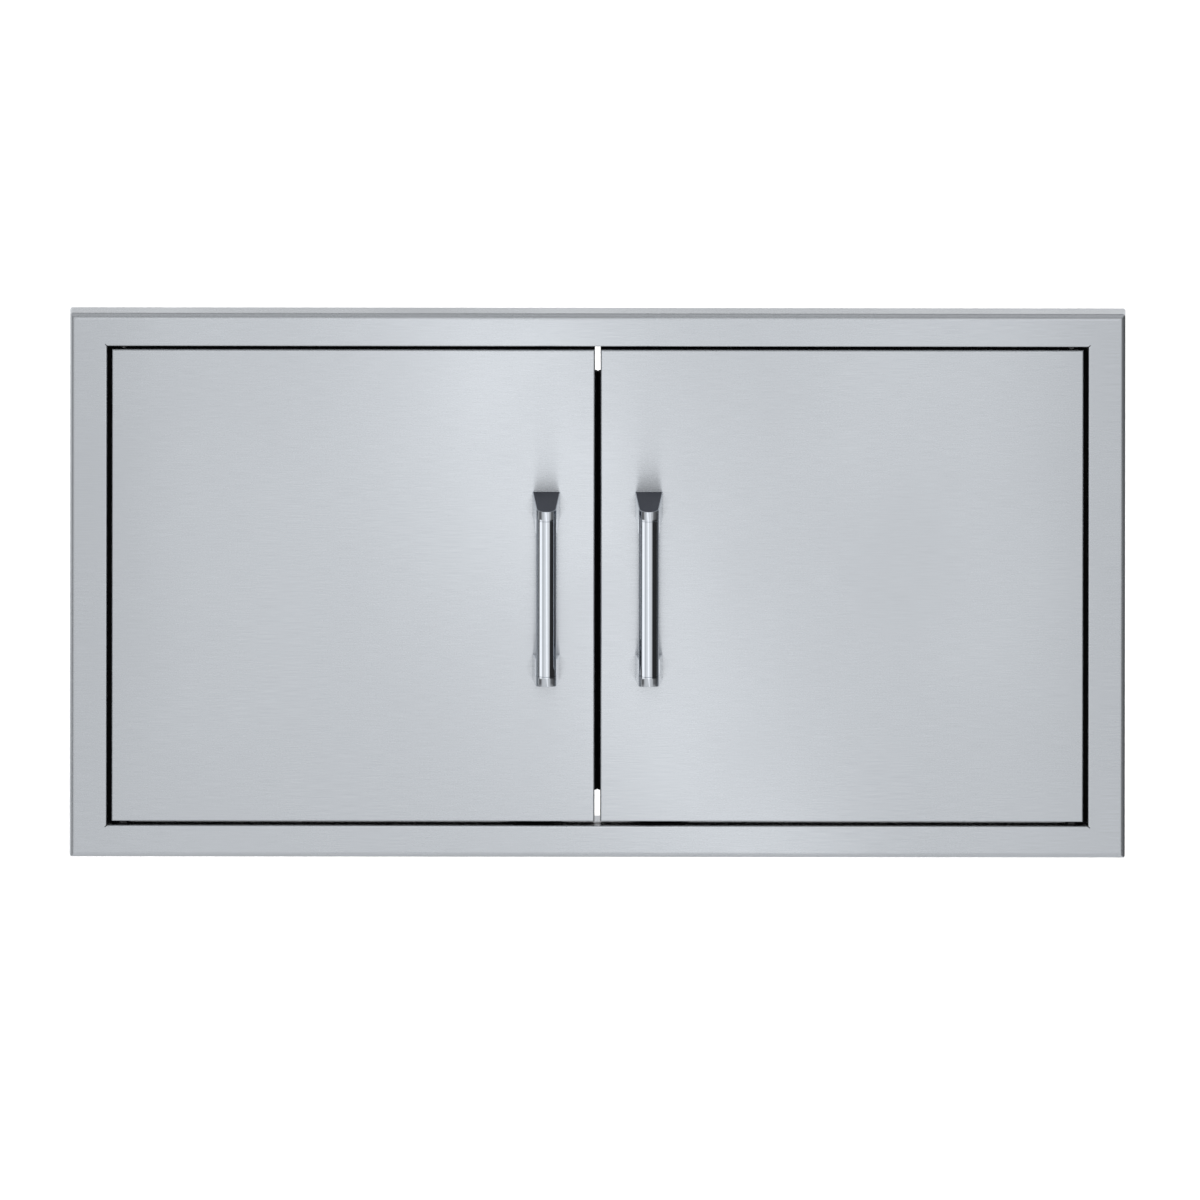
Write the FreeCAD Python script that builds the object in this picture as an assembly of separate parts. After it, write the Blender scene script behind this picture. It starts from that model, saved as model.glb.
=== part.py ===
import FreeCAD, Part
import math
import os

from FreeCAD import Vector

# Double access door for an outdoor kitchen island: two hollow steel leaves in a raised trim frame.
# Millimetres. X points right, Y into the wall and Z up. The origin is the centre of the opening, on
# the plane of the wall that the trim frame sits against, so the front faces -Y.

# Trim frame
frame_width = 1066.8
frame_height = 564.0
stile_face = 37.5
rail_face = 33.5
frame_depth = 32.0  # from the wall to the front face
jamb_depth = 46.0  # from the front face to the jamb's rear edge
frame_sheet = 1.2
outer_bend = 6.0  # bends are given by their outer radius
inner_bend = 1.8
seat_lip = 10.0
seat_bend = 2.0
slit_length = 3.0  # relief slits at the corners of the opening
slit_width = 0.9
slit_depth = 3.0
mitre_run = 1.1  # the mitres are cut this share of the face width, past the opening's edge
ground_corner = 3.0  # radius that the frame's welded outer corners are ground to

# Holes for the screws into the island
mount_hole = 5.2
mount_hole_inset = 7.0  # from the jamb's rear edge
stile_hole_spacing = 360.0

# Gaps round the leaves
side_gap = 4.7
centre_gap = 5.7
top_gap = 3.4
bottom_gap = 4.2

# Seals inside the stiles
jamb_seal_reach = 9.5  # of the lip, from the stile
jamb_seal_width = 7.0  # along the stile's depth
jamb_seal_wall = 2.0
jamb_seal_gap = 0.8  # from the lip to the swing of the leaf's outer edge

# Leaves
door_depth = 20.0
skin_sheet = 1.2
skin_bend = 1.8
liner_sheet = 1.0
liner_bend = 1.5
liner_flange = 12.0
liner_fit = 0.15
panel_depth = 5.0  # pressed panel of the liner
panel_slope = 7.0
panel_corner = 14.0
panel_land = 8.0  # flat metal between the panel and the strike plates or carriers
panel_side = 66.0  # from the leaf's free edge

# Hinge pins
hinge_inset = 12.0  # from the leaf's outer edge
hinge_setback = 10.0  # behind the front face
pin_diameter = 6.0
pin_clearance = 0.05
pin_reach = 5.0  # past the edge of the opening
pin_hole_clearance = 0.4

# Hinge bushes
bush_width = 9.0  # of the square barrel, which can't turn in its hole
bush_barrel = 6.0  # from the edge of the opening
bush_flange = 1.0
bush_flange_width = 14.0
bush_flange_chamfer = 3.0
bush_fit = 0.05
running_gap = 0.3

# Hinge carriers inside the leaves
carrier_sheet = 2.5
carrier_height = 46.0
carrier_width = 20.0
carrier_fit = 0.15

# Sprung upper pin and fixed lower pin
pin_travel = 9.0
pin_arm_drop = 9.0  # arm's centre, below the carrier
pin_arm_reach = 12.0  # behind the leaf
pin_arm_clearance = 0.8
collar_flats = 8.0
collar_height = 2.0
spring_wire = 1.0
spring_fit = 0.6
spring_turns = 6
spring_facets = 6  # straight runs in a turn
thrust_flats = 11.0

# Magnetic catches and strike plates
catch_inset = 60.0  # from the leaf's free edge
catch_gap = 0.3
catch_width = 38.0
catch_height = 13.0
catch_depth = 16.0
catch_wall = 4.0
catch_rib = 2.0
catch_foot_length = 56.0
catch_foot = 2.5
catch_chamfer = 1.2
magnet_width = 30.0
magnet_height = 8.8
magnet_depth = 9.8
magnet_fit = 0.1
magnet_proud = 0.5
pole_thickness = 1.6
pole_proud = 0.8
strike_inset = 14.0  # from the leaf's end
strike_length = 58.0
strike_height = 14.0
strike_sheet = 1.5
strike_corner = 3.0

# Centre seals
seal_inset = 28.0  # from the leaf's ends
seal_depth = 14.0  # behind the leaf
seal_bulb = 13.2
seal_meeting = 0.3  # from the bulb to the middle of the gap
seal_base = 2.5
seal_base_width = 13.0
seal_base_inset = 1.5

# Handles
handle_inset = 49.0  # from the leaf's free edge
handle_length = 195.3  # over the posts, at the leaf
handle_projection = 62.2  # from the leaf to the front of the tube
post_width = 28.0
post_height = 27.0
post_lean = 6.9  # how far a post leans in over the projection
lip_setback = 5.0  # of the lips that hold the tube, behind its axis
seat_fit = 0.1  # round the tube, where it lies in a post
tube_diameter = 20.8
tube_wall = 1.5
cap_height = 9.95  # from the tube's end to the front edge of the end face
spigot_length = 12.0
spigot_fit = 0.1  # from the corners of the hexagonal spigot to the bore of the tube
inlay_rim = 1.0
inlay_recess = 0.8
inlay_sunk = 0.2  # below the post's rim
inlay_fit = 0.05

# Places that follow from the sizes above
front = -frame_depth
jamb_rear = front + jamb_depth
open_x = frame_width / 2 - stile_face
open_z = frame_height / 2 - rail_face
door_back = front + door_depth
door_outer = -(open_x - side_gap)
door_free = -centre_gap / 2
door_top = open_z - top_gap
door_bottom = -(open_z - bottom_gap)
door_middle = (door_top + door_bottom) / 2
hinge_x = door_outer + hinge_inset
hinge_y = front + hinge_setback
pin_radius = pin_diameter / 2
skin_inside = front + skin_sheet
liner_inside = door_back - liner_sheet
liner_margin = skin_sheet + liner_fit
carrier_margin = liner_margin + liner_sheet + carrier_fit
carrier_top = door_top - carrier_margin
carrier_foot = carrier_top - carrier_height
collar_top = carrier_top - carrier_sheet - running_gap
arm_z = carrier_foot - pin_arm_drop
catch_x = door_free - catch_inset
strike_z = door_top - strike_inset
catch_front = door_back + strike_sheet + catch_gap
catch_body_front = catch_front + magnet_proud
catch_back = catch_body_front + catch_depth
handle_x = door_free - handle_inset
handle_y = front - handle_projection + tube_diameter / 2
handle_top = door_middle + handle_length / 2
tube_radius = tube_diameter / 2
tube_top = handle_top - post_lean - cap_height
post_slope = post_lean / handle_projection
bulb_radius = seal_bulb / 2

x_axis = Vector(1, 0, 0)
y_axis = Vector(0, 1, 0)
z_axis = Vector(0, 0, 1)
past = 1.0  # how far a cutting shape runs past what it cuts
near = 0.01  # edges and faces this close to a level lie on it
mitred = 1  # how a swept piece turns its corners
hexagon_sides = 6
half_turn = 180.0  # degrees


def box(x, y, z):
    """A block between two limits along each axis."""
    corner = Vector(min(x), min(y), min(z))
    return Part.makeBox(abs(x[1] - x[0]), abs(y[1] - y[0]), abs(z[1] - z[0]), corner)


def rod(radius, start, end):
    """A cylinder from one point to another."""
    along = end - start
    return Part.makeCylinder(radius, along.Length, start, along)


def line(start, end):
    """A straight edge."""
    return Part.LineSegment(start, end).toShape()


def face_of(edges):
    """The flat face inside a closed run of edges."""
    return Part.Face(Part.Wire(Part.__sortEdges__(edges)))


def prism(points, along):
    """A straight prism on a polygon."""
    return Part.Face(Part.makePolygon(points + points[:1])).extrude(along)


def edges_along(shape, axis):
    """The straight edges of a block that run along one axis."""
    return [edge for edge in shape.Edges if abs(edge.tangentAt(edge.FirstParameter).dot(axis)) > 1 - near]


def rounded_block(x, y, z, radius, axis):
    """A block with its edges along one axis rounded."""
    block = box(x, y, z)
    return block.makeFillet(radius, edges_along(block, axis))


def chamfered_block(x, y, z, size, axis):
    """A block with its edges along one axis chamfered."""
    block = box(x, y, z)
    return block.makeChamfer(size, edges_along(block, axis))


def rounded_path(points, radii):
    """Lines and tangent arcs along a row of points, with one radius for each inner point."""
    edges = []
    start = points[0]
    for before, corner, after, radius in zip(points, points[1:], points[2:], radii):
        back = (before - corner).normalize()
        ahead = (after - corner).normalize()
        half_angle = back.getAngle(ahead) / 2
        reach = radius / math.tan(half_angle)
        middle = (back + ahead).normalize() * (radius / math.sin(half_angle) - radius)
        edges.append(line(start, corner + back * reach))
        edges.append(Part.Arc(corner + back * reach, corner + middle, corner + ahead * reach).toShape())
        start = corner + ahead * reach
    edges.append(line(start, points[-1]))
    return edges


def folded_sheet(points, radii, thickness, normal, along):
    """A bent sheet, extruded. The points follow its outer surface and it lies to their left."""
    left = [normal.cross(b - a).normalize() for a, b in zip(points, points[1:])]
    inner = [points[0] + left[0] * thickness]
    for point, before, after in zip(points[1:], left, left[1:]):
        inner.append(point + (before + after) * (thickness / (1 + before.dot(after))))
    inner.append(points[-1] + left[-1] * thickness)
    outline = rounded_path(points, radii)
    outline += rounded_path(inner, [radius - thickness for radius in radii])
    outline += [line(points[0], inner[0]), line(points[-1], inner[-1])]
    return face_of(outline).extrude(along)


def pan(x, y_face, y_rim, z, thickness, bend):
    """A folded tray: a flat face with a flange along each of its four edges, welded at the corners."""
    inward = math.copysign(thickness, y_rim - y_face)
    mouth = y_rim + math.copysign(past, inward)
    outer = tray_block(x, y_face, y_rim, z, bend)
    inner_x = (x[0] + thickness, x[1] - thickness)
    inner_z = (z[0] + thickness, z[1] - thickness)
    inner = tray_block(inner_x, y_face + inward, mouth, inner_z, bend - thickness)
    return outer.cut(inner)


def tray_block(x, y_face, y_rim, z, bend):
    """A block with the four edges round its face rounded."""
    block = box(x, (y_face, y_rim), z)
    edges = [edge for edge in block.Edges if abs(edge.CenterOfMass.y - y_face) < near]
    return block.makeFillet(bend, edges)


def to_right(shape):
    """The same piece on the right-hand leaf or side."""
    return shape.mirror(Vector(0, 0, 0), x_axis)


def to_bottom(shape):
    """The same frame piece at the bottom of the opening."""
    return shape.mirror(Vector(0, 0, 0), z_axis)


def to_lower_end(shape):
    """The same leaf piece at the leaf's lower end."""
    return shape.mirror(Vector(0, 0, door_middle), z_axis)


# Trim frame


def trim_channel(face_width, origin, across, length):
    """The folded section of a frame member, before its ends are mitred."""
    steps = [(seat_lip, 0), (0, 0), (0, front), (face_width, front), (face_width, jamb_rear)]
    points = [origin + across * a + y_axis * y for a, y in steps]
    bends = [seat_bend, outer_bend, inner_bend]
    return folded_sheet(points, bends, frame_sheet, across.cross(y_axis), length)


def mitre_block(second_corner):
    """The space of the frame member that runs from the upper left corner to this one."""
    first = Vector(-frame_width / 2, front - past, frame_height / 2)
    second = Vector(second_corner.x, front - past, second_corner.z)
    points = [first, second]
    for corner in (second, first):
        inward_x = math.copysign(stile_face * mitre_run, -corner.x)
        inward_z = math.copysign(rail_face * mitre_run, -corner.z)
        points.append(corner + Vector(inward_x, 0, inward_z))
    return prism(points, y_axis * (jamb_depth + 2 * past))


def ground_block():
    """The space inside the frame's outline, with its outer corners rounded."""
    x = (-frame_width / 2, frame_width / 2)
    z = (-frame_height / 2, frame_height / 2)
    return rounded_block(x, (front - past, jamb_rear + past), z, ground_corner, y_axis)


def corner_slits():
    """The relief slits that run out from the opening's upper corners, along the mitres."""
    angle = math.degrees(math.atan2(rail_face, stile_face))
    slits = []
    for side, turn in ((-1, angle - half_turn), (1, -angle)):
        slit = box((-past, slit_length), (0, slit_depth + past), (-slit_width / 2, slit_width / 2))
        slit.rotate(Vector(0, 0, 0), y_axis, turn)
        slit.translate(Vector(side * open_x, front - past, open_z))
        slits.append(slit)
    return slits


def top_rail():
    """The upper frame member, with a square hole in its jamb for each hinge bush."""
    corner = Vector(-frame_width / 2, 0, frame_height / 2)
    rail = trim_channel(rail_face, corner, -z_axis, x_axis * frame_width)
    rail = rail.common(mitre_block(Vector(frame_width / 2, 0, frame_height / 2))).common(ground_block())
    cuts = corner_slits()
    for side in (-1, 1):
        cuts.append(bush_block(bush_width + 2 * bush_fit, side * hinge_x, open_z - past))
    return rail.cut(cuts)


def bush_block(width, x, foot):
    """The square barrel of an upper bush, or the cutter for its hole."""
    across = (x - width / 2, x + width / 2)
    depth = (hinge_y - width / 2, hinge_y + width / 2)
    return box(across, depth, (foot, open_z + bush_barrel))


def left_stile():
    """The left frame member, with the mounting holes in its jamb."""
    corner = Vector(-frame_width / 2, 0, -frame_height / 2)
    stile = trim_channel(stile_face, corner, x_axis, z_axis * frame_height)
    stile = stile.common(mitre_block(corner)).common(ground_block())
    cuts = []
    for slit in corner_slits():
        cuts.append(slit)
        cuts.append(to_bottom(slit))
    for z in (-stile_hole_spacing / 2, stile_hole_spacing / 2):
        start = Vector(-open_x - frame_sheet - past, jamb_rear - mount_hole_inset, z)
        cuts.append(rod(mount_hole / 2, start, start + x_axis * (frame_sheet + 2 * past)))
    return stile.cut(cuts)


def jamb_seal():
    """The angle seal glued inside the left stile, whose lip closes the side gap behind the leaf."""
    lip = jamb_seal_reach - open_x
    swing = math.hypot(hinge_inset, door_depth - hinge_setback) + jamb_seal_gap
    fore = hinge_y + math.sqrt(swing**2 - (hinge_x - lip) ** 2)
    outline = [
        Vector(-open_x, fore, -open_z),
        Vector(lip, fore, -open_z),
        Vector(lip, fore + jamb_seal_wall, -open_z),
        Vector(jamb_seal_wall - open_x, fore + jamb_seal_wall, -open_z),
        Vector(jamb_seal_wall - open_x, fore + jamb_seal_width, -open_z),
        Vector(-open_x, fore + jamb_seal_width, -open_z),
    ]
    return prism(outline, z_axis * (2 * open_z))


def hinge_bush():
    """The bush that the upper left pin turns in: a square barrel with a flange inside the opening."""
    half = bush_flange_width / 2
    flange_x = (hinge_x - half, hinge_x + half)
    flange_y = (hinge_y - half, hinge_y + half)
    flange_z = (open_z - bush_flange, open_z)
    flange = chamfered_block(flange_x, flange_y, flange_z, bush_flange_chamfer, z_axis)
    barrel = bush_block(bush_width, hinge_x, open_z - bush_flange)
    start = Vector(hinge_x, hinge_y, open_z - bush_flange - past)
    bore = rod(pin_radius + pin_clearance, start, Vector(hinge_x, hinge_y, open_z + bush_barrel + past))
    return flange.fuse(barrel).cut(bore).removeSplitter()


# Catches


def catch_housing(drop):
    """The moulded body of the upper left catch, on a foot, a web and two ribs under the top jamb."""
    level = open_z - drop
    depth = (catch_body_front, catch_back)
    body_x = (catch_x - catch_width / 2, catch_x + catch_width / 2)
    foot_x = (catch_x - catch_foot_length / 2, catch_x + catch_foot_length / 2)
    body_top = level + catch_height / 2
    body = chamfered_block(body_x, depth, (level - catch_height / 2, body_top), catch_chamfer, x_axis)
    foot = chamfered_block(foot_x, depth, (open_z - catch_foot, open_z), catch_chamfer, z_axis)
    web = box(body_x, (catch_back - catch_wall, catch_back), (level, open_z))
    housing = body.fuse([web, foot])
    web_middle = catch_back - catch_wall / 2
    for side in (-1, 1):
        outer = catch_x + side * catch_width / 2
        rib = [
            Vector(outer, catch_body_front + catch_chamfer, body_top - catch_chamfer),
            Vector(outer, web_middle, body_top - catch_chamfer),
            Vector(outer, web_middle, open_z - catch_foot / 2),
        ]
        housing = housing.fuse(prism(rib, x_axis * (-side * catch_rib)))
    pocket = box(
        (catch_x - magnet_width / 2 - magnet_fit, catch_x + magnet_width / 2 + magnet_fit),
        (catch_body_front - past, catch_front + magnet_depth + magnet_fit),
        (level - magnet_height / 2 - magnet_fit, level + magnet_height / 2 + magnet_fit),
    )
    return housing.cut(pocket).removeSplitter()


def catch_magnet(drop):
    """The magnet of the upper left catch between its two pole plates, as one cartridge."""
    level = open_z - drop
    x = (catch_x - magnet_width / 2, catch_x + magnet_width / 2)
    half = magnet_height / 2
    block = box(x, (catch_front, catch_front + magnet_depth), (level - half, level + half))
    slot = box(
        (x[0] - past, x[1] + past),
        (catch_front - past, catch_front + pole_proud),
        (level - half + pole_thickness, level + half - pole_thickness),
    )
    return block.cut(slot)


# Leaves


def door_skin():
    """The outer pan of the left leaf, with a square punched hole for each hinge pin."""
    skin = pan((door_outer, door_free), front, door_back, (door_bottom, door_top), skin_sheet, skin_bend)
    half = pin_radius + pin_hole_clearance
    hole_x = (hinge_x - half, hinge_x + half)
    hole_y = (hinge_y - half, hinge_y + half)
    return skin.cut(box(hole_x, hole_y, (door_bottom - past, door_top + past)))


def door_liner():
    """The inner pan of the left leaf, with its pressed panel, the pins' notches and the arm's slot."""
    x = (door_outer + liner_margin, door_free - liner_margin)
    z = (door_bottom + liner_margin, door_top - liner_margin)
    rim = door_back - liner_flange
    liner = pan(x, door_back, rim, z, liner_sheet, liner_bend)
    liner = liner.fuse(pressed_panel(liner_sheet)).cut(pressed_panel(0))
    notch = pin_radius + pin_hole_clearance
    notch_x = (hinge_x - notch, hinge_x + notch)
    notches = box(notch_x, (rim - past, hinge_y + notch), (z[0] - past, z[1] + past))
    arm = pin_radius + pin_arm_clearance
    slot_x = (hinge_x - arm, hinge_x + arm)
    slot_y = (liner_inside - past, door_back + past)
    slot_z = (arm_z - pin_travel - arm, arm_z + arm)
    return liner.cut([notches, box(slot_x, slot_y, slot_z)]).removeSplitter()


def pressed_panel(grown):
    """The sloping-sided recess of the liner, or its outside when grown by the sheet."""
    hinge_side = door_outer + carrier_margin + carrier_width + panel_land
    free_side = door_free - panel_side
    reach = strike_inset + strike_height / 2 + panel_land
    x = (hinge_side - grown, free_side + grown)
    z = (door_bottom + reach - grown, door_top - reach + grown)
    small_x = (x[0] + panel_slope, x[1] - panel_slope)
    small_z = (z[0] + panel_slope, z[1] - panel_slope)
    wide = rounded_outline(x, z, panel_corner + grown, door_back)
    narrow = rounded_outline(small_x, small_z, panel_corner + grown, door_back - panel_depth - grown)
    return Part.makeLoft([wide, narrow], True, True)


def rounded_outline(x, z, radius, y):
    """The wire of a rectangle with round corners, across the depth."""
    block = rounded_block(x, (y, y + past), z, radius, y_axis)
    faces = [face for face in block.Faces if abs(face.CenterOfMass.y - y) < near]
    return faces[0].OuterWire


def hinge_carrier():
    """The bracket at the left leaf's upper end, welded to the skin, whose two lugs guide the pin."""
    spine = door_outer + carrier_margin
    x = (spine, spine + carrier_width)
    y = (skin_inside, liner_inside - carrier_fit)
    window_x = (spine + carrier_sheet, x[1] + past)
    window_z = (carrier_foot + carrier_sheet, carrier_top - carrier_sheet)
    window = box(window_x, (y[0] - past, y[1] + past), window_z)
    foot = Vector(hinge_x, hinge_y, carrier_foot - past)
    head = Vector(hinge_x, hinge_y, carrier_top + past)
    bore = rod(pin_radius + pin_clearance, foot, head)
    return box(x, y, (carrier_foot, carrier_top)).cut([window, bore])


def hexagon_block(flats, foot, height):
    """A hexagonal block that stands upright on a point."""
    corner = flats / 2 / math.cos(math.pi / hexagon_sides)
    points = []
    for turn in range(hexagon_sides):
        angle = 2 * math.pi * turn / hexagon_sides
        points.append(foot + Vector(corner * math.cos(angle), corner * math.sin(angle), 0))
    return prism(points, z_axis * height)


def upper_pin():
    """The sprung pin, with a collar for its spring and a finger arm at its foot."""
    elbow = Vector(hinge_x, hinge_y, arm_z)
    tip = Vector(hinge_x, hinge_y, open_z + pin_reach)
    arm_end = Vector(hinge_x, door_back + pin_arm_reach, arm_z)
    path = Part.Wire([line(tip, elbow), line(elbow, arm_end)])
    circle = Part.Wire(Part.makeCircle(pin_radius, tip, z_axis))
    pin = path.makePipeShell([circle], True, False, mitred)
    collar_foot = Vector(hinge_x, hinge_y, collar_top - collar_height)
    return pin.fuse(hexagon_block(collar_flats, collar_foot, collar_height)).removeSplitter()


def pin_spring():
    """The compression spring between the lower lug and the pin's collar, of straight runs."""
    low = carrier_foot + carrier_sheet + running_gap + spring_wire / 2
    high = collar_top - collar_height - running_gap - spring_wire / 2
    half = spring_wire / 2
    coil_radius = (pin_radius + spring_fit + half) / math.cos(math.pi / spring_facets)
    points = []
    for step in range(spring_turns * spring_facets + 1):
        angle = 2 * math.pi * step / spring_facets
        level = low + (high - low) * step / (spring_turns * spring_facets)
        across = Vector(coil_radius * math.cos(angle), coil_radius * math.sin(angle), 0)
        points.append(Vector(hinge_x, hinge_y, level) + across)
    start = points[0]
    ahead = (points[1] - start).normalize()
    up = z_axis * half
    out = ahead.cross(z_axis).normalize() * half
    corners = [start + up + out, start + up - out, start - up - out, start - up + out]
    section = Part.makePolygon(corners + corners[:1])
    return Part.makePolygon(points).makePipeShell([section], True, False, mitred)


def lower_pin():
    """The fixed pin at the left leaf's lower end, with the hexagon collar that carries the leaf."""
    tip = Vector(hinge_x, hinge_y, -open_z - pin_reach)
    inner_end = Vector(hinge_x, hinge_y, 2 * door_middle - carrier_foot)
    collar_foot = Vector(hinge_x, hinge_y, -open_z + bush_flange + running_gap)
    collar = hexagon_block(thrust_flats, collar_foot, door_bottom - collar_foot.z)
    return rod(pin_radius, tip, inner_end).fuse(collar).removeSplitter()


def strike_plate():
    """The steel plate that the upper left magnet holds, on the back of the leaf."""
    x = (catch_x - strike_length / 2, catch_x + strike_length / 2)
    z = (strike_z - strike_height / 2, strike_z + strike_height / 2)
    return chamfered_block(x, (door_back, door_back + strike_sheet), z, strike_corner, y_axis)


def centre_seal():
    """The bulb seal behind the left leaf's free edge."""
    z = (door_bottom + seal_inset, door_top - seal_inset)
    foot = Vector(-seal_meeting - bulb_radius, door_back + seal_depth - bulb_radius, z[0])
    bulb = rod(bulb_radius, foot, Vector(foot.x, foot.y, z[1]))
    edge = door_free - seal_base_inset
    base = box((edge - seal_base_width, edge), (door_back, door_back + seal_base), z)
    return bulb.fuse(base).removeSplitter()


# Handles


def post_plan(rim):
    """The outline of a handle post seen along its tube, drawn in by a rim."""
    half = post_width / 2 - rim
    nose = tube_radius - rim
    base_left = Vector(handle_x - half, front - rim, 0)
    base_right = Vector(handle_x + half, front - rim, 0)
    left = Vector(handle_x - nose, handle_y, 0)
    right = Vector(handle_x + nose, handle_y, 0)
    tip = Vector(handle_x, handle_y - nose, 0)
    arc = Part.Arc(left, tip, right).toShape()
    return [line(base_left, left), arc, line(right, base_right), line(base_right, base_left)]


def post_column(rim):
    """The post's outline, run up past the handle's end."""
    return face_of(post_plan(rim)).extrude(z_axis * (handle_top + past))


def end_slab(top_offset, thickness):
    """A slab that leans as the post's end face does, some way below it."""
    reach = handle_projection + 2 * past
    rear = Vector(handle_x - post_width, front + past, handle_top + post_slope * past - top_offset)
    fore = rear + Vector(0, -reach, -post_slope * reach)
    down = z_axis * thickness
    return prism([rear, fore, fore - down, rear - down], x_axis * (2 * post_width))


def tube_seat():
    """What a post leaves free below its cap: the tube's place and all in front of the lips."""
    foot = Vector(handle_x, handle_y, 0)
    place = rod(tube_radius + seat_fit, foot, Vector(handle_x, handle_y, tube_top))
    across = (handle_x - post_width, handle_x + post_width)
    forward = (front - handle_projection - past, handle_y + lip_setback)
    return place.fuse(box(across, forward, (0, tube_top)))


def handle_post():
    """The upper post of the left handle: an arm that holds the tube from behind, and a cap on its end."""
    rear = Vector(handle_x - post_width, front, handle_top)
    fore = rear + Vector(0, -handle_projection, -post_lean)
    down = z_axis * post_height
    arm = prism([rear, fore, fore - down, rear - down], x_axis * (2 * post_width))
    post = post_column(0).common(arm).cut(tube_seat())
    spigot_corner = tube_radius - tube_wall - spigot_fit
    spigot_flats = 2 * spigot_corner * math.cos(math.pi / hexagon_sides)
    spigot_foot = Vector(handle_x, handle_y, tube_top - spigot_length)
    post = post.fuse(hexagon_block(spigot_flats, spigot_foot, spigot_length + past))
    recess = post_column(inlay_rim).common(end_slab(0, inlay_recess))
    return post.cut(recess).removeSplitter()


def end_inlay():
    """The dark plate let into the end face of the left handle's upper post."""
    column = post_column(inlay_rim + inlay_fit)
    return column.common(end_slab(inlay_sunk, inlay_recess - inlay_sunk - inlay_fit))


def handle_tube():
    """The tube between the two posts."""
    foot = Vector(handle_x, handle_y, 2 * door_middle - tube_top)
    head = Vector(handle_x, handle_y, tube_top)
    return rod(tube_radius, foot, head).cut(rod(tube_radius - tube_wall, foot, head))


# Assembly


def frame_nodes():
    """Every piece that stays with the island."""
    nodes = {
        "frame_top_rail": top_rail(),
        "frame_bottom_rail": to_bottom(top_rail()),
        "frame_left_stile": left_stile(),
        "frame_right_stile": to_right(left_stile()),
        "left_jamb_seal": jamb_seal(),
        "right_jamb_seal": to_right(jamb_seal()),
    }
    upper_drop = top_gap + strike_inset
    lower_drop = bottom_gap + strike_inset
    pairs = {
        "hinge_bush": (hinge_bush(), hinge_bush()),
        "catch_housing": (catch_housing(upper_drop), catch_housing(lower_drop)),
        "catch_magnet": (catch_magnet(upper_drop), catch_magnet(lower_drop)),
    }
    for name, (upper, lower) in pairs.items():
        nodes["upper_left_" + name] = upper
        nodes["upper_right_" + name] = to_right(upper)
        nodes["lower_left_" + name] = to_bottom(lower)
        nodes["lower_right_" + name] = to_right(to_bottom(lower))
    return nodes


def leaf_nodes(side, place):
    """Every piece of one leaf."""
    nodes = {
        "door_skin": door_skin(),
        "door_liner": door_liner(),
        "upper_hinge_carrier": hinge_carrier(),
        "lower_hinge_carrier": to_lower_end(hinge_carrier()),
        "upper_hinge_pin": upper_pin(),
        "pin_spring": pin_spring(),
        "lower_hinge_pin": lower_pin(),
        "upper_strike_plate": strike_plate(),
        "lower_strike_plate": to_lower_end(strike_plate()),
        "centre_seal": centre_seal(),
        "handle_tube": handle_tube(),
        "upper_handle_post": handle_post(),
        "lower_handle_post": to_lower_end(handle_post()),
        "upper_handle_inlay": end_inlay(),
        "lower_handle_inlay": to_lower_end(end_inlay()),
    }
    return {side + "_" + name: place(shape) for name, shape in nodes.items()}


def main():
    """Build every piece and write one file for each."""
    os.makedirs("parts", exist_ok=True)
    nodes = frame_nodes()
    nodes.update(leaf_nodes("left", lambda shape: shape))
    nodes.update(leaf_nodes("right", to_right))
    for name, shape in nodes.items():
        shape.exportStep("parts/" + name + ".step")


main()
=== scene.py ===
import math

import bmesh
import bpy
from mathutils import Matrix, Vector


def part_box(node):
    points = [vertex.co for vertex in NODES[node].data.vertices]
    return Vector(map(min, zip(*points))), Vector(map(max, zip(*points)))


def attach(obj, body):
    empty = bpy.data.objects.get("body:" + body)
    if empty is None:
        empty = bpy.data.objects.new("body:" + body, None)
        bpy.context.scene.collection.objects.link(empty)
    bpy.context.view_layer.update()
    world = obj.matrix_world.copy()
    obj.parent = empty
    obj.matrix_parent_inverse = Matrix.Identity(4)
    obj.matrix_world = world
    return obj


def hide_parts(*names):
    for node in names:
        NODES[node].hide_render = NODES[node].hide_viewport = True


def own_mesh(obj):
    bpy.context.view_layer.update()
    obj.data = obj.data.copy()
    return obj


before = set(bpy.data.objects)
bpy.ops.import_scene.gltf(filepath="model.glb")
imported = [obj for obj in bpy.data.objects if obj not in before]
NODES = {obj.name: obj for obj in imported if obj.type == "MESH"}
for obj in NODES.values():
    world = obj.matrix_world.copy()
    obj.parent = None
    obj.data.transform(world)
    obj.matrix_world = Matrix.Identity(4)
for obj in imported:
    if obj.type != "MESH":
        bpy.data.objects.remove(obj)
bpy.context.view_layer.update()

SIDES = ("left", "right")
ENDS = ("upper", "lower")
RIGHTWARD = {"left": -1, "right": 1}
UPWARD = {"upper": 1, "lower": -1}

# Lengths are metres throughout.
BACK = Vector((0, 1, 0))
UP = Vector((0, 0, 1))


# Meshes


def new_object(name, data):
    """An object with this data, linked to the scene."""
    made = bpy.data.objects.new(name, data)
    bpy.context.scene.collection.objects.link(made)
    return made


def new_piece(name, bm, material, smooth_angle=30.0):
    """A named object from a built mesh, smooth but for its sharp edges."""
    bmesh.ops.recalc_face_normals(bm, faces=bm.faces)
    limit = math.radians(smooth_angle)
    for face in bm.faces:
        face.smooth = True
    for edge in bm.edges:
        edge.smooth = len(edge.link_faces) == 2 and edge.calc_face_angle() < limit
    mesh = bpy.data.meshes.new(name)
    bm.to_mesh(mesh)
    bm.free()
    mesh.materials.append(material)
    return new_object(name, mesh)


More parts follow.
